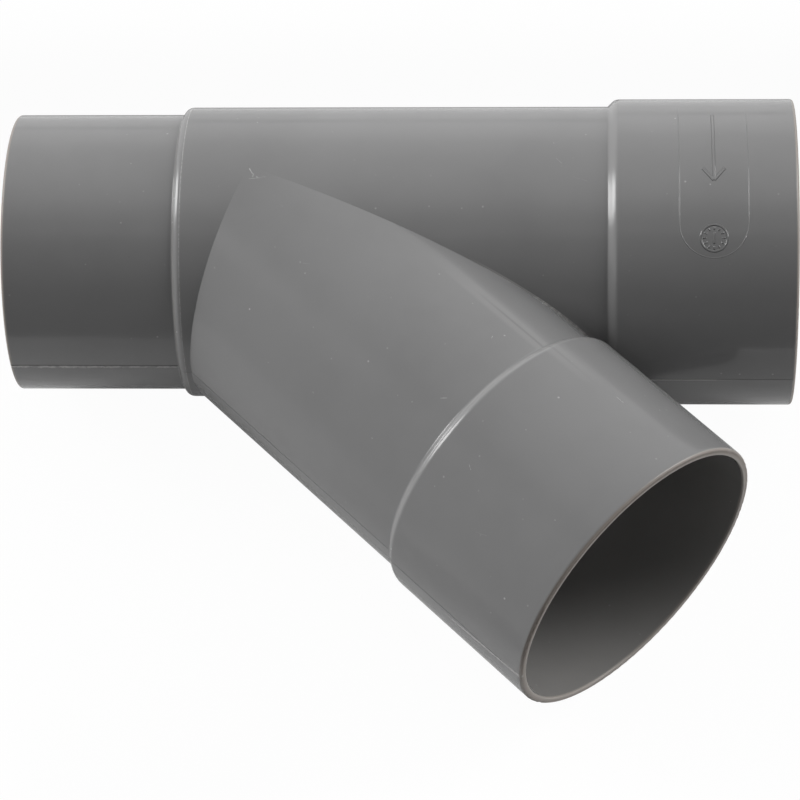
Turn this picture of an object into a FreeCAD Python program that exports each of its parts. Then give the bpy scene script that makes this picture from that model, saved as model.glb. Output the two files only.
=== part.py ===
import FreeCAD, Part
import os
import Sketcher

# Equal 45 degree wye for 70 mm rainwater pipe, moulded in one piece.
# Origin: centre of the spigot's open end. +X follows the run towards the main socket,
# the branch leaves towards -Y, and the mould parts in the XY plane.
# Lengths are in millimetres and angles in degrees.

os.makedirs("parts", exist_ok=True)
doc = FreeCAD.newDocument("LateralWye")

# Driving dimensions

SIZES = {
    # the pipe that the fitting joins
    "pipe_diameter": 70.0,
    "pipe_wall": 1.5,
    # run and branch barrels
    "branch_angle": 45.0,
    "barrel_wall": 1.8,
    "heel_gap": 3.2,
    # spigot that enters the next pipe
    "spigot_length": 40.4,
    "spigot_clearance": 0.5,
    "spigot_wall": 1.9,
    "tip_round": 0.5,
    "tip_chamfer": 0.6,
    "stop_slope": 20.0,
    "stop_round": 2.0,
    "bore_cone": 3.2,
    # sockets that receive the pipe, alike on the run and on the branch
    "crotch_to_mouth": 43.9,
    "run_socket_length": 44.25,
    "branch_socket_length": 44.8,
    "socket_depth": 41.9,
    "socket_clearance": 0.1,
    "socket_wall": 1.7,
    "shoulder_slope": 45.0,
    "shoulder_round": 2.2,
    "mouth_round": 0.7,
    "mouth_chamfer": 0.15,
    # raised line where the halves of the mould meet
    "parting_height": 0.05,
    "parting_width": 0.3,
}

# Sizes that follow from the driving dimensions

DERIVED = {
    "barrel_radius": "pipe_diameter / 2",
    "barrel_bore_radius": "barrel_radius - barrel_wall",
    "spigot_radius": "(pipe_diameter - spigot_clearance) / 2 - pipe_wall",
    "spigot_bore_radius": "spigot_radius - spigot_wall",
    "stop_run": "(barrel_radius - spigot_radius) * tan(stop_slope)",
    "socket_bore_radius": "(pipe_diameter + socket_clearance) / 2",
    "socket_radius": "socket_bore_radius + socket_wall",
    # the run's and the branch's axes cross here, measured from the spigot's end
    "crossing": "spigot_length + heel_gap + barrel_radius * tan(branch_angle / 2)",
    "shoulder_run": "(socket_radius - barrel_radius) / tan(shoulder_slope)",
    # places along a leg, measured from the crossing
    "mouth": "barrel_radius / tan(branch_angle / 2) + crotch_to_mouth",
    "seat": "mouth - socket_depth",
    "run_shoulder": "mouth - run_socket_length",
    "branch_shoulder": "mouth - branch_socket_length",
}

sheet = doc.addObject("Spreadsheet::Sheet", "Sizes")
for row, (name, value) in enumerate({**SIZES, **DERIVED}.items(), start=1):
    sheet.set(f"A{row}", name)
    sheet.set(f"B{row}", f"={value}" if name in DERIVED else str(value))
    sheet.setAlias(f"B{row}", name)
doc.recompute()


def in_sheet(text):
    """The expression with the sheet's name put before each size."""
    words = text.replace("(", "( ").replace(")", " )").split()
    return " ".join(f"Sizes.{word}" if word in SIZES or word in DERIVED else word for word in words)


# Sketches and features


def outline(body, name, corners, at_crossing=False):
    """A closed sketch in the parting plane, through named corners.

    Each corner is (x, y) or (x, y, radius), every one an expression of the sheet's sizes.
    A sketch at the crossing has its x axis along the branch.
    """
    sketch = body.newObject("Sketcher::SketchObject", name)
    plane = next(f for f in body.Origin.OriginFeatures if f.Role == "XY_Plane")
    sketch.AttachmentSupport = (plane, [""])
    sketch.MapMode = "FlatFace"
    if at_crossing:
        sketch.setExpression(".AttachmentOffset.Base.x", "Sizes.crossing")
        sketch.setExpression(".AttachmentOffset.Rotation.Angle", "-Sizes.branch_angle")
    doc.recompute()

    points = []
    for x, y, *_ in corners.values():
        values = [float(sketch.evalExpression(in_sheet(text))) for text in (x, y)]
        points.append(FreeCAD.Vector(*values, 0))
    count = len(points)
    for i in range(count):
        sketch.addGeometry(Part.LineSegment(points[i], points[(i + 1) % count]), False)
    for i in range(count):
        sketch.addConstraint(Sketcher.Constraint("Coincident", i, 2, (i + 1) % count, 1))
    for i, (corner, (x, y, *_)) in enumerate(corners.items()):
        for kind, axis, text, value in (
            ("DistanceX", "x", x, points[i].x),
            ("DistanceY", "y", y, points[i].y),
        ):
            index = sketch.addConstraint(Sketcher.Constraint(kind, -1, 1, i, 1, value))
            sketch.renameConstraint(index, f"{corner}_{axis}")
            sketch.setExpression(f"Constraints.{corner}_{axis}", in_sheet(text))

    for i, (corner, (x, y, *radius)) in enumerate(corners.items()):
        if radius:
            before, after = (i - 1) % count, i
            value = float(sketch.evalExpression(in_sheet(radius[0])))
            sketch.fillet(before, after, points[before], points[(after + 1) % count], value, True, True)
            arc = next(
                n for n in reversed(range(sketch.GeometryCount))
                if isinstance(sketch.Geometry[n], Part.ArcOfCircle)
            )
            index = sketch.addConstraint(Sketcher.Constraint("Radius", arc, value))
            sketch.renameConstraint(index, f"{corner}_round")
            sketch.setExpression(f"Constraints.{corner}_round", in_sheet(radius[0]))
    return sketch


def turned(body, kind, name, sketch):
    """A full turn of the sketch about its own x axis, added or cut."""
    feature = body.newObject(f"PartDesign::{kind}", name)
    feature.Profile = sketch
    feature.ReferenceAxis = (sketch, ["H_Axis"])
    feature.Angle = 360.0
    sketch.Visibility = False
    doc.recompute()
    return feature


def plate(body, name, sketch, width):
    """The sketch thickened to both sides of its plane."""
    feature = body.newObject("PartDesign::Pad", name)
    feature.Profile = sketch
    feature.SideType = "Symmetric"
    feature.setExpression("Length", in_sheet(width))
    sketch.Visibility = False
    doc.recompute()
    return feature


# Outlines, each as half a section above its axis


def socket_corners(start, shoulder, grow):
    """The socket's outside, from the barrel to the middle of its mouth."""
    return {
        "shoulder_foot": (f"{start} + {shoulder}", f"barrel_radius + {grow}"),
        "shoulder_top": (
            f"{start} + {shoulder} + shoulder_run",
            f"socket_radius + {grow}",
            "shoulder_round",
        ),
        "mouth_edge": (f"{start} + mouth", f"socket_radius + {grow}", "mouth_round"),
        "mouth_middle": (f"{start} + mouth", "0"),
    }


def run_corners(grow="0"):
    """The run's outside: spigot, stop shoulder, barrel and socket."""
    return {
        "tip_middle": ("0", "0"),
        "tip_edge": ("0", f"spigot_radius + {grow}", "tip_round"),
        "stop_foot": ("spigot_length", f"spigot_radius + {grow}"),
        "stop_top": ("spigot_length + stop_run", f"barrel_radius + {grow}", "stop_round"),
        **socket_corners("crossing", "run_shoulder", grow),
    }


def branch_corners(grow="0"):
    """The branch's outside, from the crossing to the mouth."""
    return {
        "start_middle": ("0", "0"),
        "start_edge": ("0", f"barrel_radius + {grow}"),
        **socket_corners("0", "branch_shoulder", grow),
    }


def socket_bore_corners(start):
    """The pipe's seat and the socket's bore, out to the middle of the mouth."""
    return {
        "seat_inner": (f"{start} + seat", "barrel_bore_radius"),
        "seat_outer": (f"{start} + seat", "socket_bore_radius"),
        "chamfer_inner": (f"{start} + mouth - mouth_chamfer", "socket_bore_radius"),
        "chamfer_outer": (f"{start} + mouth", "socket_bore_radius + mouth_chamfer"),
        "mouth_middle": (f"{start} + mouth", "0"),
    }


def run_bore_corners():
    """The waterway of the run, wider behind the stop shoulder."""
    return {
        "tip_middle": ("0", "0"),
        "tip_outer": ("0", "spigot_bore_radius + tip_chamfer"),
        "tip_inner": ("tip_chamfer", "spigot_bore_radius"),
        "cone_start": ("spigot_length", "spigot_bore_radius"),
        "cone_end": ("spigot_length + bore_cone", "barrel_bore_radius"),
        **socket_bore_corners("crossing"),
    }


def branch_bore_corners():
    """The waterway of the branch, from the crossing to the mouth."""
    return {
        "start_middle": ("0", "0"),
        "start_edge": ("0", "barrel_bore_radius"),
        **socket_bore_corners("0"),
    }


def both_sides(corners, axis_corners):
    """The half section without its corners on the axis, joined to its mirror image."""
    above = {name: corner for name, corner in corners.items() if name not in axis_corners}
    below = {f"{name}_below": (x, f"-({y})", *radius) for name, (x, y, *radius) in reversed(above.items())}
    return {**above, **below}


# The fitting

body = doc.addObject("PartDesign::Body", "wye_body")
body.Label = "wye_body"

# The outside: the run, then the branch that grows out of it
run = outline(body, "RunSection", run_corners())
turned(body, "Revolution", "Run", run)
branch = outline(body, "BranchSection", branch_corners(), at_crossing=True)
turned(body, "Revolution", "Branch", branch)

# The parting line stands out on all but the spigot, which has to slide in.
# It goes on before the bores, so that none of it is left inside.
run_line = both_sides(run_corners("parting_height"), ("tip_middle", "tip_edge", "mouth_middle"))
run_line = outline(body, "RunPartingSection", run_line)
plate(body, "RunPartingLine", run_line, "parting_width")
branch_line = both_sides(branch_corners("parting_height"), ("start_middle", "mouth_middle"))
branch_line = outline(body, "BranchPartingSection", branch_line, at_crossing=True)
plate(body, "BranchPartingLine", branch_line, "parting_width")
solid_volume = body.Shape.Volume

# The waterways, which meet as evenly as the barrels do
run_bore = outline(body, "RunBoreSection", run_bore_corners())
turned(body, "Groove", "RunBore", run_bore)
bored_volume = body.Shape.Volume
branch_bore = outline(body, "BranchBoreSection", branch_bore_corners(), at_crossing=True)
turned(body, "Groove", "BranchBore", branch_bore)
if not body.Shape.Volume < bored_volume < solid_volume:
    raise RuntimeError("a bore removed nothing")

# Checks, then the file

for obj in doc.Objects:
    faults = {"Invalid", "Error"} & set(obj.State)
    if faults:
        raise RuntimeError(f"{obj.Name}: {faults}")
if body.Shape.isNull() or not body.Shape.isValid() or len(body.Shape.Solids) != 1:
    raise RuntimeError("the fitting isn't one valid solid")
body.Shape.exportStep("parts/wye_body.step")
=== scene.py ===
"""Looks of the lateral wye fitting: glossy grey plastic, a plain floor and soft studio light.

The fitting is one moulding, so its solid is shown as it is and only gets its surface here:
the skin of the plastic, the seams and rings that the mould leaves, the outline of the mould's
insert on the main socket, the rubbed rims and the small marks of handling. Some light and shade
is painted into the colour as well: highlights on the seams, shoulders, crease, stop line, rims
and inner lips, shade on the spigot's seam and the end faces, and shade on the floor about the fitting.
"""

import math

import bpy
from bpy.props import FloatProperty, FloatVectorProperty, PointerProperty
from mathutils import Matrix, Vector


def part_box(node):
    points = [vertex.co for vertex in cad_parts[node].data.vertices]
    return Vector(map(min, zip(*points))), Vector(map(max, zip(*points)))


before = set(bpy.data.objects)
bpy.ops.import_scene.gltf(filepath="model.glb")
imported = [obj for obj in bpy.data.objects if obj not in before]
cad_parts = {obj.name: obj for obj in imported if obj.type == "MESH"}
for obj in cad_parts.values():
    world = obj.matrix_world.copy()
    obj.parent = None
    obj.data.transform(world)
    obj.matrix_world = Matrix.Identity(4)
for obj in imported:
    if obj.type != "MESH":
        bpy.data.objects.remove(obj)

bl_info = {
    "name": "Lateral Wye Fitting",
    "version": (1, 0, 0),
    "blender": (4, 5, 0),
    "location": "3D View > Sidebar > Wye",
    "description": "Dresses a moulded wye fitting and sets up its studio",
    "category": "Object",
}

NODE = "wye_body"


# Settings


def length(name, description, default):
    """A length in metres."""
    return FloatProperty(
        name=name, description=description, default=default,
        subtype="DISTANCE", unit="LENGTH", min=0.0, precision=6,
    )


def angle(name, description, degrees):
    """An angle, with its default in degrees."""
    return FloatProperty(
        name=name, description=description, default=math.radians(degrees),
        subtype="ANGLE", unit="ROTATION",
    )


def share(name, description, default):
    """A part of a whole, from 0 to 1."""
    return FloatProperty(
        name=name, description=description, default=default,
        subtype="FACTOR", min=0.0, max=1.0,
    )


def colour(name, description, default):
    """A colour, as red, green and blue from 0 to 1."""
    return FloatVectorProperty(
        name=name, description=description, default=default,
        subtype="COLOR", size=3, min=0.0, max=1.0,
    )


def offset(name, description, default):
    """A place on an axis in metres, which may be negative."""
    return FloatProperty(
        name=name, description=description, default=default,
        subtype="DISTANCE", unit="LENGTH", precision=6,
    )


def power(name, description, default):
    """The power of a lamp in watts."""
    return FloatProperty(
        name=name, description=description, default=default,
        subtype="POWER", unit="POWER", min=0.0,
    )


class WyePlastic(bpy.types.PropertyGroup):
    """The moulded plastic and its skin."""

    base: colour("Colour", "Colour of the plastic", (0.1805, 0.1805, 0.1808))
    bore: colour("Bore Colour", "Colour of the plastic in the bores", (0.203, 0.199, 0.193))
    # Also the colour of the painted highlights on the seams, shoulders, crease, web, stop line and inner
    # lips.
    pale: colour("Pale Colour", "Colour of scuffs, flash and dust", (0.62, 0.61, 0.6))
    # Warm colour of the rubbed rims, also paler as a painted highlight on their round outer edge.
    rim: colour("Rim Colour", "Colour of the rubbed rims", (0.3, 0.26, 0.228))
    # Painted shade: the dark line on the end faces, where they mirror the dark.
    face_shade_colour: colour("Dark Rim Colour", "Colour of the line on the end faces", (0.14, 0.118, 0.1))
    # Painted shade: the dark line along the spigot's seam. This is also the colour of the stains and the
    # flow line.
    dark: colour("Dark Colour", "Colour of the gap in the spigot's seam", (0.035, 0.034, 0.033))
    shade_change: share("Shade Change", "How much the colour changes over the part", 0.05)
    roughness: share("Roughness", "Roughness of the polished skin", 0.14)
    roughness_change: share("Roughness Change", "How much the roughness changes over the part", 0.05)
    ior: FloatProperty(
        name="Refractive Index", description="Refractive index of the plastic",
        min=1.0, max=3.0, default=1.5,
    )
    wave_height: length("Wave Height", "Height of the slow waves that cooling leaves", 0.00002)
    wave_length: length("Wave Length", "Length of the slow waves", 0.018)
    grain_height: length("Grain Height", "Height of the fine grain of the mould's steel", 0.0000005)
    grain_length: length("Grain Length", "Size of the fine grain", 0.0004)
    drag_height: length("Drag Height", "Height of the fine lines along the legs", 0.0000009)
    drag_width: length("Drag Width", "Distance between the fine lines along the legs", 0.0007)


class WyeShape(bpy.types.PropertyGroup):
    """Where the edges and walls of the fitting lie, along its legs and about their axes."""

    crossing: length("Crossing", "Place on the run's axis where the branch's axis starts", 0.058097)
    branch_angle: angle("Branch Angle", "Angle between the run and the branch", 45)
    barrel_radius: length("Barrel Radius", "Outside radius of the barrel", 0.035)
    socket_radius: length("Socket Radius", "Outside radius of the sockets", 0.03675)
    stop: length("Stop", "Foot of the stop shoulder, along the run", 0.0404)
    run_shoulder: length("Run Shoulder", "Foot of the main socket's shoulder, along the run", 0.14224)
    branch_shoulder: length("Branch Shoulder", "Foot of the branch socket's shoulder, along it", 0.08359)
    run_mouth: length("Run Mouth", "Open end of the main socket, along the run", 0.18649)
    branch_mouth: length("Branch Mouth", "Open end of the branch socket, along the branch", 0.12839)
    socket_depth: length("Socket Depth", "Depth of the sockets, from the mouth to the pipe's seat", 0.0419)
    spigot_wall: length("Spigot Wall", "Radius of the middle of the spigot's wall", 0.0322)
    barrel_wall: length("Barrel Wall", "Radius of the middle of the barrel's wall", 0.0341)
    socket_wall: length("Socket Wall", "Radius of the middle of the sockets' wall", 0.0359)


class WyeMouldMarks(bpy.types.PropertyGroup):
    """What the mould leaves on the surface, and the highlights and light painted on its seams, shoulders,
    crease and stop line.
    """

    outline_place: length("Outline Place", "Middle of the insert's outline, along the run", 0.1668)
    outline_radius: length("Outline Radius", "Radius of the outline's round end", 0.008)
    outline_end: angle("Outline End", "Angle from the top to the centre of the outline's round end", 24.8)
    outline_start: angle("Outline Start", "Angle from the top to where the outline fades out", -36)
    outline_width: length("Outline Width", "Width of the outline's raised line", 0.0003)
    outline_height: length("Outline Height", "Height of the outline's raised line", 0.00009)
    arrow_width: length("Arrow Width", "Width of the arrow's raised lines", 0.0009)
    dial_width: length("Dial Width", "Width of the dial's raised lines", 0.00063)
    dial_radius: length("Dial Radius", "Radius of the dial", 0.0031)
    dial_place: length("Dial Place", "Distance around the socket, from the top to the dial", 0.0193)
    relief_height: length("Relief Height", "Height of the arrow and the dial", 0.0004)
    foot_round: length("Foot Round", "Width of the soft inner corner at each shoulder's foot", 0.0003)
    flank_width: length("Flank Width", "Width of the sloping flank of each shoulder", 0.0014)
    flank_ease: share("Flank Ease", "How much flatter a socket's shoulder shades than it is", 0.3)
    # Painted highlight on the shoulders' flanks, strongest on the sockets' shoulders.
    flank_light: share("Flank Rub", "How much the shoulders are rubbed pale", 0.1)
    rim_round: length("Rim Round", "Width of the soft outer edge at each open end", 0.0011)
    ring_pitch: length("Ring Pitch", "Distance between the turned rings on the shoulders", 0.00052)
    ring_height: length("Ring Height", "Height of the turned rings", 0.000004)
    stop_height: length("Stop Line Height", "Height of the line on the stop shoulder", 0.00002)
    # Painted highlight on the low ridge at the top of the stop shoulder.
    stop_highlight: share("Stop Line Paleness", "How pale the line on the stop shoulder is", 0.25)
    # The flash is painted pale as the highlight on the seam ridges.
    flash: share("Flash", "How much the pale flash on the seams stands out", 0.7)
    flow_angle: angle("Flow Line Angle", "Angle from the top to the flow line on the branch", -24.8)
    flow_depth: length("Flow Line Depth", "Depth of the flow line on the branch", 0.00002)
    flow_dark: share("Flow Line Darkness", "How dark the flow line is", 0.1)
    flow_reach: length("Flow Band Reach", "Half the width of the pale band about the flow line", 0.0026)
    flow_pale: share("Flow Band Paleness", "How pale the band about the flow line is", 0.05)
    # Painted highlight in the crease, and painted light on the shaded skin beside its low end.
    crease_highlight: share("Crease Paleness", "How pale the line in the crease between the legs is", 0.75)
    web_light: share("Web Paleness", "How pale the skin beside the low end of the crease is", 0.1)


class WyeWear(bpy.types.PropertyGroup):
    """Dust and marks of handling, with the rubbed rims and the painted shade and highlights on the end
    faces.
    """

    speck_cell: length("Speck Spacing", "Mean distance between specks", 0.0026)
    speck_size: length("Speck Size", "Radius of the largest specks", 0.00036)
    speck_strength: share("Speck Strength", "How much the specks stand out", 0.36)
    scuff_strength: share("Scuff Strength", "How much scuffs and nicks stand out", 0.7)
    # Rubbed rims, also painted pale as the highlight on their round edge.
    rim_wear_and_highlight: share("Rim Rub", "How much the rims are rubbed", 0.8)
    # Painted shade on the end faces.
    face_shade: share("Face Line", "How much the dark line on the end faces stands out", 0.85)
    # Painted highlight on the inner lip of the end faces.
    lip_highlight: share("Lip Paleness", "How pale the inner part of the end faces is", 0.2)
    pale_dulls: share("Dull Marks", "How much rougher pale marks are", 0.5)
    rim_dulls: share("Dull Rims", "How much rougher the rims are", 0.3)


class WyeCamera(bpy.types.PropertyGroup):
    """The view of the photograph."""

    target: FloatVectorProperty(
        name="Target", description="Point in the middle of the picture",
        subtype="XYZ", unit="LENGTH", size=3, precision=5, default=(0.09345, -0.04265, 0.0),
    )
    azimuth: angle("Azimuth", "Turn of the camera about Z, from a view along +Y", 5.705)
    elevation: angle("Elevation", "Height of the camera above the horizon", 57.057)
    roll: angle("Roll", "Turn of the camera about its own axis", 4.661)
    distance: length("Distance", "Distance from the target", 0.84001)
    lens: FloatProperty(
        name="Lens", description="Focal length",
        subtype="DISTANCE_CAMERA", unit="CAMERA", default=160.276,
    )


class WyeStudio(bpy.types.PropertyGroup):
    """Floor and lights."""

    floor_size: length("Floor Size", "Side of the sheet that the fitting lies on", 6.0)
    floor_front: offset("Floor Front", "Place of the sheet's front edge, from the run's axis", -0.155)
    floor_colour: colour("Floor Colour", "Colour of the floor", (0.84, 0.84, 0.84))
    # Painted shade and shadow on the floor about the fitting.
    floor_shade_far: share("Floor Dim", "How much darker the floor is some way behind the fitting", 0.18)
    floor_shadow_close: share("Floor Dim Close", "How much darker it is right behind the fitting", 0.9)
    floor_shade_front: share("Floor Dim Front", "How much darker its edge in front of the spigot is", 0.38)
    floor_white: share("Floor White", "Share of plain white in what the camera sees of the floor", 0.97)
    mirrored_white: share("Mirrored White", "Share of plain white in what reflections show", 0.08)
    room: FloatProperty(
        name="Room Light", description="Strength of the light from walls and ceiling",
        min=0.0, max=10.0, default=1.0,
    )
    right: power("Right Softbox", "Power of the softbox at the right", 8.3)
    left: power("Left Softbox", "Power of the softbox at the left", 7.15)


class WyeSettings(bpy.types.PropertyGroup):
    """All settings of the scene."""

    plastic: PointerProperty(type=WyePlastic, name="Plastic", description="The plastic")
    shape: PointerProperty(type=WyeShape, name="Shape", description="Where the edges lie")
    marks: PointerProperty(type=WyeMouldMarks, name="Mould Marks", description="What the mould leaves")
    wear: PointerProperty(type=WyeWear, name="Wear", description="Dust and marks of handling")
    camera: PointerProperty(type=WyeCamera, name="Camera", description="The view")
    studio: PointerProperty(type=WyeStudio, name="Studio", description="Floor and lights")


# Shader nodes


class Graph:
    """Adds nodes to one tree and links them, so that a formula reads from the inside out."""

    def __init__(self, tree):
        self.tree = tree

    def node(self, kind, values=None, **settings):
        """A new node, with its settings, and with its inputs linked or set by name or number."""
        new = self.tree.nodes.new(kind)
        for name, value in settings.items():
            setattr(new, name, value)
        for key, value in (values or {}).items():
            if isinstance(value, bpy.types.NodeSocket):
                self.tree.links.new(value, new.inputs[key])
            else:
                new.inputs[key].default_value = value
        return new

    def group(self, tree, values):
        """The outputs of a node group with the given inputs."""
        return self.node("ShaderNodeGroup", values, node_tree=tree).outputs

    def math(self, operation, *values):
        """The result of a Math node."""
        return self.node("ShaderNodeMath", dict(enumerate(values)), operation=operation).outputs[0]

    def total(self, *values):
        """The sum of any number of values."""
        result = values[0]
        for value in values[1:]:
            result = self.math("ADD", result, value)
        return result

    def product(self, *values):
        """The product of any number of values."""
        result = values[0]
        for value in values[1:]:
            result = self.math("MULTIPLY", result, value)
        return result

    def step(self, value, low, high, to_low=0.0, to_high=1.0):
        """A smooth change from to_low to to_high as value goes from low to high."""
        values = {"Value": value, "From Min": low, "From Max": high, "To Min": to_low, "To Max": to_high}
        return self.node("ShaderNodeMapRange", values, interpolation_type="SMOOTHSTEP").outputs["Result"]

    def ramp(self, value, low, high, to_low, to_high):
        """An even change from to_low to to_high as value goes from low to high."""
        values = {"Value": value, "From Min": low, "From Max": high, "To Min": to_low, "To Max": to_high}
        return self.node("ShaderNodeMapRange", values).outputs["Result"]

    def near(self, value, centre, reach, core=0.3):
        """1 where value is close to centre, from a share of the reach inwards, and 0 from reach on."""
        off = self.math("ABSOLUTE", self.math("SUBTRACT", value, centre))
        return self.step(off, self.math("MULTIPLY", reach, core), reach, 1.0, 0.0)

    def window(self, value, low, high, soft):
        """1 from low to high, with soft ends inside."""
        starts, ends = self.step(value, low, low + soft), self.step(value, high - soft, high, 1.0, 0.0)
        return self.product(starts, ends)

    def largest(self, *values):
        """The largest of any number of values."""
        result = values[0]
        for value in values[1:]:
            result = self.math("MAXIMUM", result, value)
        return result

    def noise(self, vector, scale, detail=2.0, roughness=0.5):
        """Noise from 0 to 1, of the given number of waves a metre."""
        values = {"Vector": vector, "Scale": scale, "Detail": detail, "Roughness": roughness}
        return self.node("ShaderNodeTexNoise", values).outputs["Fac"]

    def vector(self, x, y, z=0.0):
        """A vector of three values."""
        return self.node("ShaderNodeCombineXYZ", {0: x, 1: y, 2: z}).outputs[0]

    def mix(self, factor, first, second):
        """A colour between two colours."""
        return self.node("ShaderNodeMix", {0: factor, 6: first, 7: second}, data_type="RGBA").outputs[2]


def new_group(name, inputs, outputs):
    """An empty node group whose sockets are named in two lists, as a graph with its two ends."""
    tree = bpy.data.node_groups.new(name, "ShaderNodeTree")
    for socket in inputs:
        kind = "NodeSocketVector" if socket == "Position" else "NodeSocketFloat"
        tree.interface.new_socket(socket, in_out="INPUT", socket_type=kind)
    for socket in outputs:
        tree.interface.new_socket(socket, in_out="OUTPUT", socket_type="NodeSocketFloat")
    graph = Graph(tree)
    return graph, graph.node("NodeGroupInput").outputs, graph.node("NodeGroupOutput").inputs


def leg_group():
    """Place along a leg, angle about its axis and distance from it. The angle is 0 at the top."""
    g, given, result = new_group("Wye Leg", ("Position", "Start", "Turn"), ("Along", "Angle", "Radius"))
    turned = g.node(
        "ShaderNodeVectorRotate",
        {"Vector": given["Position"], "Center": g.vector(given["Start"], 0.0), "Angle": given["Turn"]},
        rotation_type="Z_AXIS",
    ).outputs[0]
    place = g.node("ShaderNodeSeparateXYZ", {"Vector": turned}).outputs
    side = g.math("MULTIPLY", place["Y"], -1.0)
    squares = g.total(g.product(side, side), g.product(place["Z"], place["Z"]))
    g.tree.links.new(g.math("SUBTRACT", place["X"], given["Start"]), result["Along"])
    g.tree.links.new(g.math("ARCTAN2", side, place["Z"]), result["Angle"])
    g.tree.links.new(g.math("SQRT", squares), result["Radius"])
    return g.tree


def bar_group():
    """A straight stroke on the unrolled surface: 1 on it and 0 beside it."""
    g, given, result = new_group(
        "Wye Bar",
        ("Along", "Around", "Place Along", "Place Around", "Turn", "Length", "Width", "Ragged"), ("Mask",),
    )
    x = g.math("SUBTRACT", given["Along"], given["Place Along"])
    y = g.math("SUBTRACT", given["Around"], given["Place Around"])
    c, s = g.math("COSINE", given["Turn"]), g.math("SINE", given["Turn"])
    u = g.math("ABSOLUTE", g.total(g.product(x, c), g.product(y, s)))
    v = g.math("ABSOLUTE", g.math("SUBTRACT", g.product(y, c), g.product(x, s)))
    ends = g.math("SUBTRACT", g.math("MULTIPLY", given["Length"], 0.5), u)
    sides = g.math("SUBTRACT", g.math("MULTIPLY", given["Width"], 0.5), v)
    bite = g.product(given["Ragged"], given["Width"], 0.5)
    inside = g.math("SUBTRACT", g.math("MINIMUM", ends, sides), bite)
    soft = g.math("MULTIPLY", given["Width"], 0.25)
    g.tree.links.new(g.step(inside, 0.0, soft), result["Mask"])
    return g.tree


def outline_group():
    """Raised line of the mould's insert: two sides and one round end."""
    fade_angle = 0.25
    g, given, result = new_group(
        "Wye Insert Outline",
        ("Along", "Angle", "Radius", "Place", "Size", "End", "Start", "Width"), ("Mask",),
    )
    across = g.math("SUBTRACT", given["Along"], given["Place"])
    around = g.product(g.math("SUBTRACT", given["Angle"], given["End"]), given["Radius"])
    beyond = g.math("MAXIMUM", around, 0.0)
    off = g.math("SQRT", g.total(g.product(across, across), g.product(beyond, beyond)))
    line = g.near(off, given["Size"], g.math("MULTIPLY", given["Width"], 0.5))
    fade = g.step(given["Angle"], given["Start"], g.math("ADD", given["Start"], fade_angle))
    g.tree.links.new(g.product(line, fade), result["Mask"])
    return g.tree


def dial_group():
    """A plain dial: a ring with ticks inside and a pointer, placed by shares of its radius."""
    ticks, tick_middle, tick_reach, tick_width, pointer_reach = 12, 0.74, 0.16, 0.7, 0.45
    g, given, result = new_group(
        "Wye Dial", ("Along", "Around", "Place Along", "Place Around", "Radius", "Width"), ("Mask",),
    )
    x = g.math("SUBTRACT", given["Along"], given["Place Along"])
    y = g.math("SUBTRACT", given["Around"], given["Place Around"])
    off = g.math("SQRT", g.total(g.product(x, x), g.product(y, y)))
    half = g.math("MULTIPLY", given["Width"], 0.5)
    ring = g.near(off, given["Radius"], half)
    turn = g.math("ADD", g.math("ARCTAN2", y, x), math.tau)
    sideways = g.product(g.math("PINGPONG", turn, math.tau / (2 * ticks)), off)
    middle, reach = (g.math("MULTIPLY", given["Radius"], part) for part in (tick_middle, tick_reach))
    tick_half = g.math("MULTIPLY", half, tick_width)
    tick = g.product(g.near(sideways, 0.0, tick_half), g.near(off, middle, reach))
    length_reach = g.math("MULTIPLY", given["Radius"], pointer_reach)
    pointer = g.product(g.near(x, 0.0, half), g.near(y, 0.0, length_reach, 0.8))
    g.tree.links.new(g.largest(ring, tick, pointer), result["Mask"])
    return g.tree


def corner_group():
    """Height that rounds off a corner at one place along a leg, given the change of slope there."""
    g, given, result = new_group("Wye Soft Corner", ("Along", "Place", "Width", "Slope"), ("Height",))
    off = g.math("ABSOLUTE", g.math("SUBTRACT", given["Along"], given["Place"]))
    inside = g.math("MAXIMUM", g.math("SUBTRACT", given["Width"], off), 0.0)
    height = g.math("DIVIDE", g.product(inside, inside, given["Slope"], 0.5), given["Width"])
    g.tree.links.new(height, result["Height"])
    return g.tree


def rings_group():
    """Height of the fine rings that turning left in the mould, on and beside a shoulder."""
    g, given, result = new_group(
        "Wye Turned Rings", ("Along", "Place", "Reach", "Pitch", "Height"), ("Height",),
    )
    phase = g.math("MULTIPLY", g.math("DIVIDE", given["Along"], given["Pitch"]), math.tau)
    mask = g.near(given["Along"], given["Place"], given["Reach"], 0.6)
    g.tree.links.new(g.product(g.math("SINE", phase), mask, given["Height"]), result["Height"])
    return g.tree


def skin_group():
    """Slow change of shade and roughness over the moulding, with its waves and grain."""
    shade_waves, patch_waves = 22.0, 70.0
    g, given, result = new_group(
        "Wye Moulded Skin",
        ("Position", "Wave Length", "Wave Height", "Grain Length", "Grain Height"),
        ("Shade", "Patches", "Height"),
    )
    waves = g.noise(given["Position"], g.math("DIVIDE", 1.0, given["Wave Length"]), 2.0, 0.4)
    grain = g.noise(given["Position"], g.math("DIVIDE", 1.0, given["Grain Length"]), 1.0, 0.5)
    height = g.total(g.product(waves, given["Wave Height"]), g.product(grain, given["Grain Height"]))
    patches = g.step(g.noise(given["Position"], patch_waves, 5.0, 0.65), 0.35, 0.7)
    g.tree.links.new(g.noise(given["Position"], shade_waves, 4.0, 0.6), result["Shade"])
    g.tree.links.new(patches, result["Patches"])
    g.tree.links.new(height, result["Height"])
    return g.tree


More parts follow.
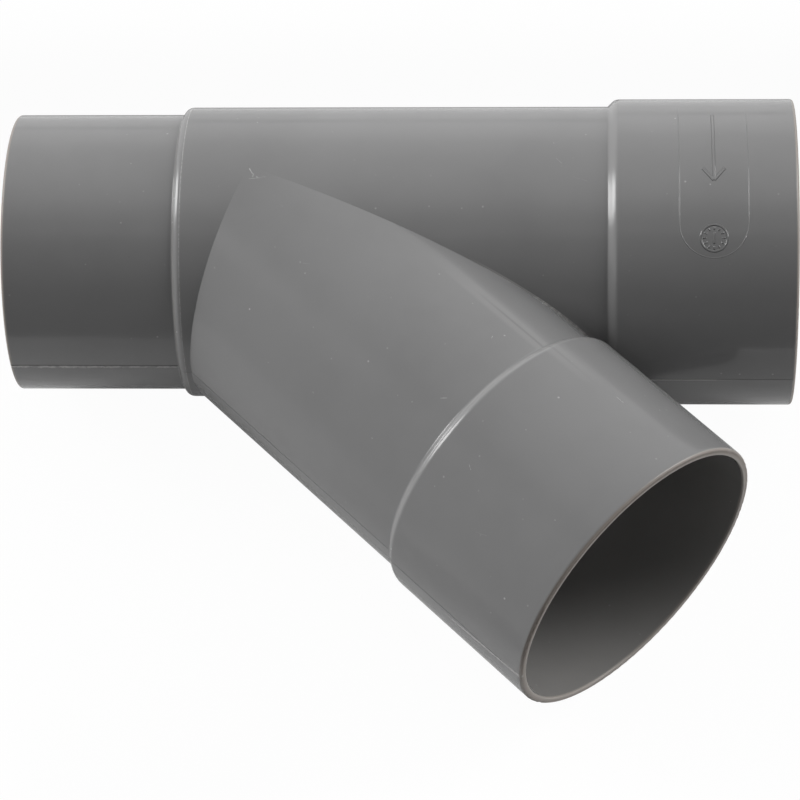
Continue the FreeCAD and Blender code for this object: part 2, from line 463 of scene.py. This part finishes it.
def speck_group():
    """Dust specks: small dots of their own size and strength, in a little over half of the cells."""
    empty_cells, smallest, core = 0.45, 0.3, 0.4
    g, given, result = new_group("Wye Specks", ("Position", "Spacing", "Size"), ("Mask",))
    scale = g.math("DIVIDE", 1.0, given["Spacing"])
    cells = g.node("ShaderNodeTexVoronoi", {"Vector": given["Position"], "Scale": scale})
    reach = g.product(cells.outputs["Distance"], given["Spacing"])
    draw = g.node("ShaderNodeSeparateColor", {"Color": cells.outputs["Color"]}).outputs
    size = g.product(given["Size"], g.step(draw["Green"], 0.0, 1.0, smallest, 1.0))
    dot = g.step(reach, g.math("MULTIPLY", size, core), size, 1.0, 0.0)
    there = g.step(draw["Red"], empty_cells, empty_cells + 0.01)
    g.tree.links.new(g.product(dot, there, draw["Blue"], draw["Blue"]), result["Mask"])
    return g.tree


# Raised bars of an arrow inside the insert's outline: place along the run from the outline's
# middle (m), place around (m), turn (degrees) and length (m).
ARROW = (
    (0.0, -0.006, 90, 0.022), (-0.0013, 0.0036, 52, 0.0042), (0.0013, 0.0036, 128, 0.0042),
)


# Marks of handling: leg, place along it (m), angle from the top (degrees), length (m),
# width (m), turn from the leg's axis (degrees) and strength, below 0 for a dark stain.
SCUFFS = (
    ("run", 0.0587, 2.3, 0.0021, 0.00052, 62, 1.0),
    ("run", 0.0593, 4.3, 0.0014, 0.0007, 105, 1.0),
    ("run", 0.0600, 5.7, 0.0034, 0.00045, -4, 1.0),
    ("run", 0.0603, 5.2, 0.0011, 0.00075, 40, 1.0),
    ("run", 0.0618, 5.0, 0.0013, 0.0004, 20, 0.7),
    ("run", 0.1308, -2.5, 0.0024, 0.0003, 50, 0.35),
    ("run", 0.1358, 6.0, 0.0042, 0.0002, 20, 0.25),
    ("run", 0.0304, 37.2, 0.0007, 0.0006, 0, -0.3),
    ("run", 0.1344, 39.0, 0.0006, 0.0004, 0, 0.4),
    ("run", 0.1296, -11.8, 0.0006, 0.0004, 30, 0.5),
    ("branch", 0.0141, 3.6, 0.0008, 0.0004, 0, 0.6),
    ("branch", 0.0282, 15.6, 0.0007, 0.0004, 40, 0.7),
    ("branch", 0.0296, 14.5, 0.0018, 0.00018, -30, 0.4),
    ("branch", 0.0207, 17.5, 0.0006, 0.0004, 0, 0.45),
    ("branch", 0.0783, 19.0, 0.0018, 0.00028, -40, 0.9),
    ("branch", 0.0698, 48.5, 0.0007, 0.0005, 20, 0.9),
    ("branch", 0.0747, -11.9, 0.001, 0.00035, 70, 0.5),
    ("branch", 0.1064, -26.5, 0.0024, 0.00022, 0, 0.6),
    ("branch", 0.1129, -38.0, 0.0006, 0.0004, 0, 0.5),
    ("branch", 0.1186, 25.9, 0.0007, 0.0006, 0, 0.6),
    ("branch", 0.0948, 31.4, 0.0016, 0.0003, 30, 0.45),
    ("branch", 0.1062, 47.0, 0.0032, 0.00016, -20, 0.3),
)


# Softness of the masks that part one place of the skin from the next, in metres
EDGE = 0.0001


class Skin:
    """What each mark is placed by: the settings, the place on both legs, and a ragged noise.

    The mask of a leg is 1 where the surface belongs to it. The branch has what lies outside
    the run's barrel and within its own radius.
    """

    def __init__(self, g, settings):
        self.g = g
        self.plastic, self.shape, self.marks = settings.plastic, settings.shape, settings.marks
        self.position = g.node("ShaderNodeTexCoord").outputs["Object"]
        self.z = g.node("ShaderNodeSeparateXYZ", {"Vector": self.position}).outputs["Z"]
        self.ragged = g.noise(self.position, 1400.0, 3.0, 0.6)
        self.bar, self.corner = bar_group(), corner_group()
        leg, shape = leg_group(), self.shape
        starts = {"run": (0.0, 0.0), "branch": (shape.crossing, shape.branch_angle)}
        self.place = {
            name: g.group(leg, {"Position": self.position, "Start": start, "Turn": turn})
            for name, (start, turn) in starts.items()
        }
        run, branch = self.place["run"], self.place["branch"]
        on_branch = g.product(
            g.step(branch["Radius"], shape.socket_radius + EDGE, shape.socket_radius + 2 * EDGE, 1.0, 0.0),
            g.step(run["Radius"], shape.barrel_radius - EDGE, shape.barrel_radius + 3 * EDGE),
            g.step(branch["Along"], 0.0, 10 * EDGE),
        )
        self.on = {"run": g.math("SUBTRACT", 1.0, on_branch), "branch": on_branch}
        self.around = {
            name: g.product(place["Angle"], shape.barrel_radius) for name, place in self.place.items()
        }

    def ends(self):
        """Leg and place of each open end, and the radii of its rubbed, pale-painted rim and of the painted
        shade line on its face.
        """
        shape, spigot, socket = self.shape, (0.0325, 0.0324), (0.0348, 0.0361)
        return (
            ("run", 0.0, *spigot),
            ("run", shape.run_mouth, *socket),
            ("branch", shape.branch_mouth, *socket),
        )

    def shoulders(self):
        """Leg and foot of each shoulder, the change of slope at its foot, and its share of the ease."""
        shape = self.shape
        return (
            ("run", shape.stop, 0.6, 0.0),
            ("run", shape.run_shoulder, 0.41, 0.35),
            ("branch", shape.branch_shoulder, 0.41, 1.0),
        )


def bores(skin):
    """1 in the bores, told from the outer skin by the distance from the leg's axis."""
    g, shape = skin.g, skin.shape
    result = 0.0
    for name, mouth, first_wall in (
        ("run", shape.run_mouth, shape.spigot_wall), ("branch", shape.branch_mouth, shape.barrel_wall),
    ):
        along, seat = skin.place[name]["Along"], mouth - shape.socket_depth
        wall = g.step(along, shape.stop, shape.stop + 2 * EDGE, first_wall, shape.barrel_wall)
        wall = g.largest(wall, g.step(along, seat, seat + 2 * EDGE, 0.0, shape.socket_wall))
        inside = g.math("LESS_THAN", skin.place[name]["Radius"], wall)
        result = g.largest(result, g.product(inside, skin.on[name]))
    return result


def insert_marks(skin):
    """Height of the outline that the mould's insert left, with the arrow and the dial inside it."""
    past_foot, outer = (0.002, 0.003), (0.0362, 0.0365)
    g, shape, marks, run = skin.g, skin.shape, skin.marks, skin.place["run"]
    around = g.product(run["Angle"], shape.socket_radius)
    outline = g.group(outline_group(), {
        "Along": run["Along"], "Angle": run["Angle"], "Radius": shape.socket_radius,
        "Place": marks.outline_place, "Size": marks.outline_radius, "End": marks.outline_end,
        "Start": marks.outline_start, "Width": marks.outline_width,
    })["Mask"]
    relief = g.group(dial_group(), {
        "Along": run["Along"], "Around": around, "Place Along": marks.outline_place,
        "Place Around": marks.dial_place, "Radius": marks.dial_radius, "Width": marks.dial_width,
    })["Mask"]
    for along, middle, turn, size in ARROW:
        stroke = g.group(skin.bar, {
            "Along": run["Along"], "Around": around, "Place Along": marks.outline_place + along,
            "Place Around": middle, "Turn": math.radians(turn), "Length": size,
            "Width": marks.arrow_width, "Ragged": 0.0,
        })["Mask"]
        relief = g.largest(relief, stroke)
    on_socket = g.product(
        g.step(run["Along"], *(shape.run_shoulder + off for off in past_foot)),
        skin.on["run"], g.step(run["Radius"], *outer),
    )
    height = g.total(g.product(outline, marks.outline_height), g.product(relief, marks.relief_height))
    return g.product(height, on_socket)


def spigot_seam(skin):
    """Masks of the painted shade line and of the pale flash, painted as its highlight, along the spigot's
    seam, on its outside only.
    """
    shade_height, shade_reach = 0.00025, 0.00036
    flash_height, flash_narrow, flash_wide, flash_fades = -0.0003, 0.0002, 0.0009, (0.016, 0.03)
    g, shape, run = skin.g, skin.shape, skin.place["run"]
    outside = g.product(
        g.step(run["Along"], shape.stop - 4 * EDGE, shape.stop, 1.0, 0.0),
        g.step(run["Radius"], shape.spigot_wall + EDGE, shape.spigot_wall + 4 * EDGE),
    )
    # Painted shade: a dark line along the spigot's seam.
    seam_shade = g.product(
        g.near(skin.z, shade_height, shade_reach), outside, g.step(skin.ragged, 0.2, 0.5, 0.6, 1.0),
    )
    # Painted highlight: the pale flash just below the spigot's seam.
    reach = g.step(skin.ragged, 0.3, 0.7, flash_narrow, flash_wide)
    patchy = g.step(g.noise(skin.position, 420.0, 2.0), 0.4, 0.62, 0.25, 1.0)
    fade = g.step(run["Along"], *flash_fades, 1.0, 0.5)
    return seam_shade, g.product(g.near(skin.z, flash_height, reach), outside, patchy, fade)


def socket_flash_highlight(skin):
    """Pale flash on the seams of both sockets, painted as the highlight on their ridges. On the branch it
    lies a little aslant.
    """
    main_height, main_reach, main_outer, main_share = -0.0001, 0.00045, (0.036, 0.0363), 0.6
    branch_outer, branch_share = (0.0358, 0.0362), 0.7
    level_at, slant, narrow, wide = 0.1255, 0.086, 0.0005, 0.0008
    main_span, branch_span = (0.136, 0.176, 0.014), (0.1, 0.142, 0.014)
    g, run, branch = skin.g, skin.place["run"], skin.place["branch"]
    main = g.product(
        g.near(skin.z, main_height, main_reach, 0.4), skin.on["run"],
        g.step(run["Radius"], *main_outer), g.window(run["Along"], *main_span),
    )
    middle = g.product(g.math("SUBTRACT", branch["Along"], level_at), slant)
    reach = g.step(skin.ragged, 0.3, 0.7, narrow, wide)
    side = g.product(
        g.near(g.math("SUBTRACT", skin.z, middle), 0.0, reach, 0.4), skin.on["branch"],
        g.step(branch["Radius"], *branch_outer), g.window(branch["Along"], *branch_span),
    )
    return g.total(g.product(main, main_share), g.product(side, branch_share))


def shoulder_marks(skin):
    """Height of the soft feet, eased flanks and turned rings of the shoulders, and a mask of the flanks,
    which are painted pale as their highlight.
    """
    ring_place, ring_reach = 0.001, 0.0016
    light_beyond, light_soft, light_least = 0.0012, 0.0008, 0.4
    g, marks, rings = skin.g, skin.marks, rings_group()
    height, flanks = 0.0, 0.0
    for name, foot, slope, ease in skin.shoulders():
        along, top = skin.place[name]["Along"], foot + marks.flank_width
        soft_foot = g.group(skin.corner, {
            "Along": along, "Place": foot, "Width": marks.foot_round, "Slope": slope,
        })["Height"]
        eased = g.ramp(along, foot, top, 0.0, -marks.flank_width * marks.flank_ease * ease)
        turned = g.group(rings, {
            "Along": along, "Place": foot + ring_place, "Reach": ring_reach,
            "Pitch": marks.ring_pitch, "Height": marks.ring_height,
        })["Height"]
        height = g.total(height, g.product(g.total(soft_foot, eased, turned), skin.on[name]))
        # Painted highlight: the flanks are made paler, most where the flank is eased.
        flank = g.product(g.window(along, foot, top + light_beyond, light_soft), skin.on[name])
        flanks = g.largest(flanks, g.product(flank, light_least + (1.0 - light_least) * ease))
    return height, flanks


def stop_line(skin):
    """Mask of the fine broken line at the top of the stop shoulder: a low ridge, painted pale as its
    highlight.
    """
    past_foot, reach = 0.0019, 0.00014
    g, along = skin.g, skin.place["run"]["Along"]
    broken = g.step(skin.ragged, 0.35, 0.55, 0.4, 1.0)
    return g.product(g.near(along, skin.shape.stop + past_foot, reach), skin.on["run"], broken)


def flow_marks(skin):
    """Masks of the flow line on the branch and of the pale band about it."""
    line_reach, line_fades = 0.0006, (0.082, 0.086)
    line_span, band_span = (0.058, 0.104, 0.016), (0.045, 0.104, 0.02)
    g, marks, branch = skin.g, skin.marks, skin.place["branch"]
    off = g.product(g.math("SUBTRACT", branch["Angle"], marks.flow_angle), skin.shape.barrel_radius)
    line = g.product(
        g.near(off, 0.0, line_reach, 0.0), skin.on["branch"], g.window(branch["Along"], *line_span),
        g.step(branch["Along"], *line_fades, 1.0, 0.5),
    )
    band = g.product(
        g.near(off, 0.0, marks.flow_reach, 0.5), skin.on["branch"],
        g.window(branch["Along"], *band_span),
    )
    return line, band


def crease_marks(skin):
    """Masks of the painted highlight line in the crease between the legs and of the painted light on the
    skin beside its low end.
    """
    line_off, line_reach, run_reach, web_reach = 0.00022, 0.00038, 0.00035, 0.0016
    faint_span, clear_span = (0.05, 0.088, 0.012), (0.065, 0.083, 0.004)
    web_span, web_turn = (0.068, 0.088, 0.006), (1.0, 1.2)
    g, run, branch, radius = skin.g, skin.place["run"], skin.place["branch"], skin.shape.barrel_radius
    faint = g.product(g.window(branch["Along"], *faint_span), 0.35)
    clear = g.window(branch["Along"], *clear_span)
    # Painted highlight along the crease.
    crease = g.product(
        g.near(run["Radius"], radius, run_reach),
        g.near(branch["Radius"], radius + line_off, line_reach, 0.4),
        g.total(faint, g.product(clear, g.step(skin.ragged, 0.4, 0.6, 0.1, 0.65))),
    )
    # Painted light on the shaded skin beside the crease's low end.
    painted_web_light = g.product(
        g.near(branch["Radius"], radius, web_reach, 0.2), skin.on["run"],
        g.window(branch["Along"], *web_span), g.step(run["Angle"], *web_turn),
    )
    return crease, painted_web_light


def handling_marks(skin):
    """Masks of the pale scuffs and of the dark stains."""
    g, scuffs, stains = skin.g, 0.0, 0.0
    for name, along, turned, size, width, turn, strength in SCUFFS:
        mark = g.group(skin.bar, {
            "Along": skin.place[name]["Along"], "Around": skin.around[name], "Place Along": along,
            "Place Around": math.radians(turned) * skin.shape.barrel_radius, "Turn": math.radians(turn),
            "Length": size, "Width": width, "Ragged": skin.ragged,
        })["Mask"]
        mark = g.product(mark, skin.on[name], abs(strength))
        if strength > 0:
            scuffs = g.largest(scuffs, mark)
        else:
            stains = g.largest(stains, mark)
    return scuffs, stains


def end_marks(skin):
    """Height of the round outer edges of the open ends, and masks of their rims, rubbed and painted pale as
    the highlight on the round edge, of the painted shade line on the end faces and of the painted highlight
    at the inner lip.
    """
    rim_slope, rim_reach, face_reach, line_reach, line_wander = -0.36, 0.0009, 0.0003, 0.00042, 0.0003
    lip_inwards, lip_reach, low, high = 0.0009, 0.00035, 0.005, 0.03
    g, height, rims, lines, lip_highlights = skin.g, 0.0, 0.0, 0.0, 0.0
    wander = g.product(g.math("SUBTRACT", skin.ragged, 0.5), line_wander)
    for name, end, rim_radius, line_radius in skin.ends():
        along, radius = skin.place[name]["Along"], skin.place[name]["Radius"]
        edge = g.group(skin.corner, {
            "Along": along, "Place": end, "Width": skin.marks.rim_round, "Slope": rim_slope,
        })["Height"]
        height = g.total(height, g.product(edge, skin.on[name]))
        # Rims rubbed warm, and painted pale as the highlight on the round outer edge.
        outer = g.step(radius, rim_radius, rim_radius + 2 * EDGE)
        rim = g.product(g.near(along, end, rim_reach, 0.2), skin.on[name], outer)
        rims = g.largest(rims, rim)
        # Painted shade: a dark line on each end face, stronger towards the top.
        face = g.product(g.near(along, end, face_reach, 0.6), skin.on[name])
        off = g.total(radius, wander)
        line = g.product(g.near(off, line_radius, line_reach), g.step(skin.z, low, high, 0.35, 1.0))
        lines = g.largest(lines, g.product(face, line))
        # Painted highlight: the pale inner part of each end face, at the inner chamfer.
        lip_highlights = g.largest(lip_highlights, g.product(face, g.near(off, line_radius - lip_inwards, lip_reach)))
    return height, rims, lines, lip_highlights


def drag_lines(skin):
    """Height of the fine lines along the legs."""
    along_share, height = 0.02, 0.0
    g, plastic = skin.g, skin.plastic
    for name, place in skin.place.items():
        across = g.vector(g.product(place["Along"], along_share), skin.around[name])
        drag = g.noise(across, 1.0 / plastic.drag_width, 2.0, 0.6)
        height = g.total(height, g.product(drag, skin.on[name], plastic.drag_height))
    return height


def moulded_plastic(settings):
    """The grey plastic with its mould marks and wear, and highlights and shade painted into its colour."""
    plastic, marks, wear = settings.plastic, settings.marks, settings.wear
    material = bpy.data.materials.new("Moulded Grey Plastic")
    material.use_nodes = True
    g = Graph(material.node_tree)
    shader = material.node_tree.nodes["Principled BSDF"]
    skin = Skin(g, settings)
    surface = g.group(skin_group(), {
        "Position": skin.position, "Wave Length": plastic.wave_length, "Wave Height": plastic.wave_height,
        "Grain Length": plastic.grain_length, "Grain Height": plastic.grain_height,
    })
    specks = g.group(speck_group(), {
        "Position": skin.position, "Spacing": wear.speck_cell, "Size": wear.speck_size,
    })["Mask"]
    seam_shade, spigot_flash_highlight = spigot_seam(skin)
    shoulder_height, flanks = shoulder_marks(skin)
    stop_ridge_highlight = stop_line(skin)
    flow_line, flow_band = flow_marks(skin)
    crease, painted_web_light = crease_marks(skin)
    scuffs, stains = handling_marks(skin)
    end_height, rims, lines, lip_highlights = end_marks(skin)

    # Height

    height = g.total(
        insert_marks(skin), shoulder_height, end_height, g.product(stop_ridge_highlight, marks.stop_height),
        g.product(flow_line, -marks.flow_depth), surface["Height"], drag_lines(skin),
    )
    bump = g.node("ShaderNodeBump", {"Strength": 1.0, "Distance": 1.0, "Height": height})

    # Pale marks: dust and scuffs, the pale band about the flow line, and the painted highlights of the
    # seams, crease, web and stop line

    broken = g.step(g.noise(skin.position, 2600.0, 2.0, 0.6), 0.35, 0.6, 0.5, 1.0)
    worn = g.largest(g.product(specks, wear.speck_strength), g.product(scuffs, wear.scuff_strength))
    pale = g.largest(
        g.product(worn, broken), g.product(g.total(spigot_flash_highlight, socket_flash_highlight(skin)), marks.flash),
        g.product(crease, marks.crease_highlight), g.product(stop_ridge_highlight, marks.stop_highlight),
        g.product(painted_web_light, marks.web_light),
        g.product(flow_band, g.math("SUBTRACT", 1.0, flow_line), marks.flow_pale),
    )
    # Dark marks: stains and the flow line, with the painted shade line on the spigot's seam.
    dark = g.largest(seam_shade, stains, g.product(flow_line, marks.flow_dark))

    # Colour and roughness

    shade = g.step(surface["Shade"], 0.3, 0.7, 1.0 - plastic.shade_change, 1.0 + plastic.shade_change)
    tint = g.node("ShaderNodeCombineColor", {0: shade, 1: shade, 2: shade}).outputs[0]
    base = g.node("ShaderNodeMix", {
        0: 1.0, 6: g.mix(bores(skin), (*plastic.base, 1.0), (*plastic.bore, 1.0)), 7: tint,
    }, data_type="RGBA", blend_type="MULTIPLY").outputs[2]
    # Rims rubbed warm and painted pale as their highlight, painted shade on the end faces, painted
    # highlights on the inner lips and the flanks, then the pale and the dark marks.
    for mask, strength, colour_there in (
        (rims, wear.rim_wear_and_highlight, plastic.rim), (lines, wear.face_shade, plastic.face_shade_colour),
        (lip_highlights, wear.lip_highlight, plastic.pale), (flanks, marks.flank_light, plastic.pale),
        (pale, 1.0, plastic.pale), (dark, 1.0, plastic.dark),
    ):
        base = g.mix(g.product(mask, strength), base, (*colour_there, 1.0))
    rough = g.total(
        g.product(surface["Patches"], plastic.roughness_change), plastic.roughness,
        g.product(pale, wear.pale_dulls), g.product(rims, wear.rim_dulls),
    )
    g.tree.links.new(base, shader.inputs["Base Color"])
    g.tree.links.new(rough, shader.inputs["Roughness"])
    g.tree.links.new(bump.outputs[0], shader.inputs["Normal"])
    shader.inputs["IOR"].default_value = plastic.ior
    return material


# Operators


class WYE_OT_fitting(bpy.types.Operator):
    """Gives the fitting its plastic, with the marks of its mould and of handling, and some highlights and
    shade painted into its colour
    """

    bl_idname = "wye.fitting"
    bl_label = "Dress Fitting"

    def execute(self, context):
        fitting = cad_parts[NODE]
        fitting.data.materials.clear()
        fitting.data.materials.append(moulded_plastic(context.scene.wye))
        return {"FINISHED"}


# Softboxes about the fitting: azimuth from the camera's side towards +X and elevation (degrees),
# distance (m), width and height (m), and the share of the width and height that fades at each edge.
SOFTBOXES = {
    "right": (112, 29, 1.1, (0.5, 1.1), 0.02),
    "left": (249, 27, 1.1, (0.66, 0.88), 0.35),
}


def softbox(context, name, watts, azimuth, elevation, distance, size, fade):
    """A rectangular lamp that faces the fitting, with soft edges and the same power whatever they are."""
    turn, rise = math.radians(azimuth), math.radians(elevation)
    way = Vector((math.sin(turn) * math.cos(rise), -math.cos(turn) * math.cos(rise), math.sin(rise)))
    centre = Vector(context.scene.wye.camera.target)
    bpy.ops.object.select_all(action="DESELECT")
    bpy.ops.object.light_add(type="AREA", location=centre + way * distance)
    lamp = context.object
    lamp.name = name
    lamp.rotation_euler = way.to_track_quat("Z", "Y").to_euler()
    lamp.data.shape = "RECTANGLE"
    lamp.data.size, lamp.data.size_y = size
    lamp.data.energy = watts
    lamp.data.use_nodes = True
    g = Graph(lamp.data.node_tree)
    over_lamp = g.node("ShaderNodeNewGeometry").outputs["Parametric"]
    across = g.node("ShaderNodeSeparateXYZ", {0: over_lamp}).outputs
    cloth = g.product(g.window(across["X"], 0.0, 1.0, fade), g.window(across["Y"], 0.0, 1.0, fade))
    level = g.math("DIVIDE", cloth, (1.0 - fade) ** 2)
    g.tree.links.new(level, lamp.data.node_tree.nodes["Emission"].inputs["Strength"])
    return lamp


def white_share(g, seen, mirrored):
    """Share of plain white, for what the camera sees and for what shows in reflections."""
    rays = g.node("ShaderNodeLightPath").outputs
    shown = g.largest(rays["Is Glossy Ray"], rays["Is Transmission Ray"])
    return g.largest(g.product(rays["Is Camera Ray"], seen), g.product(shown, mirrored))


# Painted shade on the floor, which the fitting mirrors: darker areas for its shadow close behind it,
# wider shade further back and shade in front of the spigot. The two behind the fitting have a soft
# start and a soft end in Y (m). The one in front of the spigot fades out in Y, and its sides are its
# start, end and softness in X (m).
SHADE_FAR = ((0.1, 0.13), (0.2, 0.42))
SHADOW_CLOSE = ((0.0, 0.04), (0.08, 0.115))
SHADE_FRONT_END = (-0.15, -0.07)
SHADE_FRONT_SIDES = (-0.005, 0.08, 0.02)


def floor_material(studio):
    """A pale floor that the camera sees as nearly white, with the shadow kept, and reflections as it is,
    with painted shade behind the fitting and in front of the spigot.
    """
    black = (0.0, 0.0, 0.0, 1.0)
    material = bpy.data.materials.new("Pale Floor")
    material.use_nodes = True
    g = Graph(material.node_tree)
    shader = material.node_tree.nodes["Principled BSDF"]
    on_floor = g.node("ShaderNodeTexCoord").outputs["Object"]
    place = g.node("ShaderNodeSeparateXYZ", {0: on_floor}).outputs
    # Painted shade: the floor is darker behind the fitting and in front of the spigot.
    painted_shades = [
        g.product(g.step(place["Y"], *start), g.step(place["Y"], *end, dim, 0.0))
        for (start, end), dim in ((SHADE_FAR, studio.floor_shade_far), (SHADOW_CLOSE, studio.floor_shadow_close))
    ]
    front = g.step(place["Y"], *SHADE_FRONT_END, studio.floor_shade_front, 0.0)
    painted_shades.append(g.product(front, g.window(place["X"], *SHADE_FRONT_SIDES)))
    base = g.mix(g.total(*painted_shades), (*studio.floor_colour, 1.0), black)
    g.tree.links.new(base, shader.inputs["Base Color"])
    shader.inputs["Roughness"].default_value = 0.9
    shader.inputs["Specular IOR Level"].default_value = 0.0
    white = g.node("ShaderNodeEmission", {"Color": (1.0, 1.0, 1.0, 1.0), "Strength": 1.0})
    mixed = g.node("ShaderNodeMixShader", {0: white_share(g, studio.floor_white, studio.mirrored_white)})
    g.tree.links.new(shader.outputs[0], mixed.inputs[1])
    g.tree.links.new(white.outputs[0], mixed.inputs[2])
    g.tree.links.new(mixed.outputs[0], material.node_tree.nodes["Material Output"].inputs["Surface"])
    return material


# The room's light on a great circle from the back over the top to the front: degrees from
# straight up, negative towards the back, and the strength there.
ROOM_LIGHT = (
    (-180.0, 1.15), (-67.0, 1.15), (-65.0, 0.92), (-40.0, 0.88), (-10.0, 0.75), (0.0, 0.45), (12.0, 0.18),
    (21.0, 0.34), (22.0, 0.0), (70.0, 0.0), (78.0, 0.13), (90.0, 0.15), (96.0, 0.2), (180.0, 0.2),
)

# The left and the right wall take the place of that light. Each starts and ends at an X of the
# direction, and each of its values is given at the front and at the back.
LEFT_WALL = (-0.5, -0.7)
LEFT_WALL_LIGHT = (0.85, 1.3)
RIGHT_WALL_START = (0.5, 0.08)
RIGHT_WALL_END = (0.7, 0.34)
RIGHT_WALL_LIGHT = (0.35, 0.85)
FRONT_TO_BACK = (-0.2, 0.2)

# The left wall's light near the ground: where the direction's Z starts and ends, and the light there.
LEFT_WALL_LOW = (0.0, 0.25, 0.9, 1.0)


def room(studio):
    """A pale room that is dark behind the camera and dim at the right."""
    world = bpy.data.worlds.new("Room")
    world.use_nodes = True
    g = Graph(world.node_tree)
    direction = g.node("ShaderNodeTexCoord").outputs["Generated"]
    way = g.node("ShaderNodeSeparateXYZ", {0: direction}).outputs
    over = g.math("ARCTAN2", g.math("MULTIPLY", way["Y"], -1.0), way["Z"])
    ramp = g.node("ShaderNodeValToRGB", {0: g.math("ADD", g.math("DIVIDE", over, math.tau), 0.5)})
    stops = ramp.color_ramp.elements
    for i, (degrees, light) in enumerate(ROOM_LIGHT):
        stop = stops[i] if i < 2 else stops.new(1.0)
        stop.position = degrees / 360.0 + 0.5
        stop.color = (light, light, light, 1.0)

    def by_depth(front_and_back):
        return g.step(way["Y"], *FRONT_TO_BACK, *front_and_back)

    left = g.step(way["X"], *LEFT_WALL)
    right = g.step(way["X"], by_depth(RIGHT_WALL_START), by_depth(RIGHT_WALL_END))
    middle = g.math("SUBTRACT", 1.0, g.total(left, right))
    strength = g.product(studio.room, g.total(
        g.product(ramp.outputs["Color"], middle),
        g.product(left, by_depth(LEFT_WALL_LIGHT), g.step(way["Z"], *LEFT_WALL_LOW)),
        g.product(right, by_depth(RIGHT_WALL_LIGHT)),
    ))
    white = white_share(g, 1.0, studio.mirrored_white)
    strength = g.total(strength, g.product(white, g.math("SUBTRACT", 1.0, strength)))
    background = world.node_tree.nodes["Background"]
    background.inputs["Color"].default_value = (1.0, 1.0, 1.0, 1.0)
    g.tree.links.new(strength, background.inputs["Strength"])
    return world


def place_camera(context, view):
    """The photograph's camera, turned about the target and rolled about its own axis."""
    back = Vector((
        math.sin(view.azimuth) * math.cos(view.elevation),
        -math.cos(view.azimuth) * math.cos(view.elevation),
        math.sin(view.elevation),
    ))
    level = Vector((0.0, 0.0, 1.0)).cross(back).normalized()
    up = back.cross(level) * math.cos(view.roll) + level * math.sin(view.roll)
    bpy.ops.object.select_all(action="DESELECT")
    bpy.ops.object.camera_add()
    camera = context.object
    camera.name = "camera"
    placed = Matrix((up.cross(back), up, back)).transposed().to_4x4()
    placed.translation = Vector(view.target) + back * view.distance
    camera.matrix_world = placed
    camera.data.lens = view.lens
    context.scene.camera = camera


class WYE_OT_stage(bpy.types.Operator):
    """Sets up the camera, the floor and the lights"""

    bl_idname = "wye.stage"
    bl_label = "Set Up Studio"

    def execute(self, context):
        scene, studio, view = context.scene, context.scene.wye.studio, context.scene.wye.camera
        bpy.ops.object.select_all(action="DESELECT")
        bpy.ops.mesh.primitive_plane_add(size=studio.floor_size)
        floor = context.object
        floor.name = "floor"
        middle = studio.floor_front + studio.floor_size / 2
        floor.location = (view.target[0], middle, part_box(NODE)[0].z)
        bpy.ops.object.transform_apply(location=True, rotation=False, scale=False)
        floor.data.materials.append(floor_material(studio))
        for side, placing in SOFTBOXES.items():
            softbox(context, f"softbox_{side}", getattr(studio, side), *placing)
        scene.world = room(studio)
        place_camera(context, view)
        scene.view_settings.view_transform = "Standard"
        return {"FINISHED"}


class WYE_PT_panel(bpy.types.Panel):
    """Settings and steps of the wye fitting"""

    bl_label = "Wye Fitting"
    bl_idname = "WYE_PT_panel"
    bl_space_type = "VIEW_3D"
    bl_region_type = "UI"
    bl_category = "Wye"

    def draw(self, context):
        settings = context.scene.wye
        self.layout.operator(WYE_OT_fitting.bl_idname)
        self.layout.operator(WYE_OT_stage.bl_idname)
        for name in ("plastic", "shape", "marks", "wear", "camera", "studio"):
            group = getattr(settings, name)
            box = self.layout.box()
            box.label(text=settings.bl_rna.properties[name].name)
            for prop in group.bl_rna.properties:
                if prop.identifier not in ("rna_type", "name"):
                    box.prop(group, prop.identifier)


CLASSES = (
    WyePlastic, WyeShape, WyeMouldMarks, WyeWear, WyeCamera, WyeStudio, WyeSettings,
    WYE_OT_fitting, WYE_OT_stage, WYE_PT_panel,
)


def register():
    for cls in CLASSES:
        bpy.utils.register_class(cls)
    bpy.types.Scene.wye = PointerProperty(type=WyeSettings, name="Wye", description="The wye fitting")


def unregister():
    del bpy.types.Scene.wye
    for cls in reversed(CLASSES):
        bpy.utils.unregister_class(cls)


def main():
    """Builds the scene."""
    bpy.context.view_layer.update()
    register()
    bpy.ops.wye.fitting()
    bpy.ops.wye.stage()
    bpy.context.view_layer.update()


if __name__ == "__main__":
    main()
